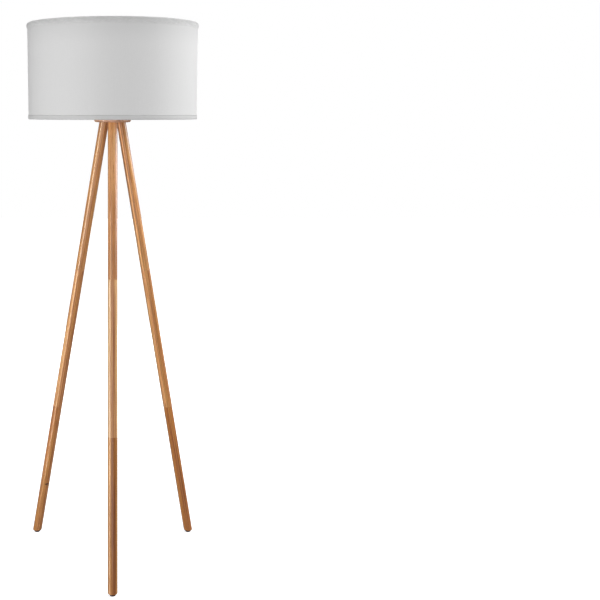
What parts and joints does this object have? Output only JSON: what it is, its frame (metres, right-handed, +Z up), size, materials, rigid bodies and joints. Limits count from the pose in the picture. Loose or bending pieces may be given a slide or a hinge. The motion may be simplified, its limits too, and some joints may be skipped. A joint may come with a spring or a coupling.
{
  "type": "tripod floor lamp",
  "caption": "Floor lamp: a white cloth drum shade and lampholder on a round wooden disc, carried by splayed wooden legs made of screwed sections.",
  "frame": {"origin": "on the floor, on the lamp's vertical axis, in the middle of the circle through the feet", "axes": "+Z up along the lamp's axis, the front leg points towards -Y, the switch knob points towards +X"},
  "size_m": [0.4936, 0.5141, 1.512],
  "materials": {
    "leg_wood": "oiled and satin varnished hardwood, light brown",
    "disc_wood": "satin varnished hardwood",
    "foot_rubber": "dark brown rubber pad",
    "zinc_steel": "zinc plated",
    "contact_brass": "bare stamped brass",
    "holder_plastic": "white moulded plastic",
    "insulator_ceramic": "white glazed porcelain",
    "bush_plastic": "black moulded plastic",
    "shade_cloth": "fine plain-weave cloth, off-white",
    "liner_plastic": "white translucent styrene sheet",
    "white_wire": "white powder coated steel",
    "bulb_cap_metal": "nickel plated",
    "bulb_plastic": "white moulded plastic",
    "board_green": "green circuit board",
    "board_white": "white circuit board",
    "led_yellow": "yellow phosphor",
    "bulb_diffuser": "frosted white polycarbonate"
  },
  "bodies": {
    "stand": {"top_disc": "disc_wood", "front_leg_top": "leg_wood", "front_leg_middle": "leg_wood", "front_leg_bottom": "leg_wood", "rear_left_leg_top": "leg_wood", "rear_left_leg_middle": "leg_wood", "rear_left_leg_bottom": "leg_wood", "rear_right_leg_top": "leg_wood", "rear_right_leg_middle": "leg_wood", "rear_right_leg_bottom": "leg_wood", "leg_bolts": "zinc_steel", "disc_inserts": "zinc_steel", "joint_studs": "zinc_steel", "joint_inserts": "zinc_steel", "front_foot_pad": "foot_rubber", "rear_left_foot_pad": "foot_rubber", "rear_right_foot_pad": "foot_rubber", "nipple": "zinc_steel", "nipple_washer": "zinc_steel", "lower_nut": "zinc_steel", "upper_nut": "zinc_steel", "cord_bush": "bush_plastic", "holder_cap": "holder_plastic", "holder_body": "holder_plastic", "holder_insulator": "insulator_ceramic", "screw_shell": "contact_brass", "centre_contact": "contact_brass", "terminal_blocks": "contact_brass", "terminal_screws": "zinc_steel", "switch_block": "holder_plastic", "switch_bush": "contact_brass"},
    "switch": {"switch_shaft": "zinc_steel", "switch_knob": "holder_plastic"},
    "ring_nut": {"shade_ring_nut": "holder_plastic"},
    "shade": {"shade_cloth": "shade_cloth", "shade_liner": "liner_plastic", "top_hem": "shade_cloth", "bottom_hem": "shade_cloth", "top_wire_ring": "white_wire", "bottom_wire_ring": "white_wire", "fitter_spokes": "white_wire", "fitter_ring": "white_wire"},
    "bulb": {"bulb_cap": "bulb_cap_metal", "bulb_tip": "bulb_cap_metal", "bulb_insulator": "bush_plastic", "bulb_housing": "bulb_plastic", "driver_board": "board_green", "led_board": "board_white", "led_chips": "led_yellow", "bulb_diffuser": "bulb_diffuser"}
  },
  "joints": [
    {"name": "switch_turn", "type": "hinge", "parent": "stand", "child": "switch", "pos_m": [0.018, 0, 1.2875], "axis": [1, 0, 0], "continuous": true},
    {"name": "shade_turn", "type": "hinge", "parent": "stand", "child": "shade", "pos_m": [0, 0, 1.3001], "axis": [0, 0, 1], "continuous": true},
    {"name": "ring_nut_turn", "type": "hinge", "parent": "stand", "child": "ring_nut", "pos_m": [0, 0, 1.3057], "axis": [0, 0, 1], "range_deg": [0, 1080]},
    {"name": "bulb_turn", "type": "hinge", "parent": "stand", "child": "bulb", "pos_m": [0, 0, 1.328], "axis": [0, 0, 1], "range_deg": [0, 2160]}
  ]
}
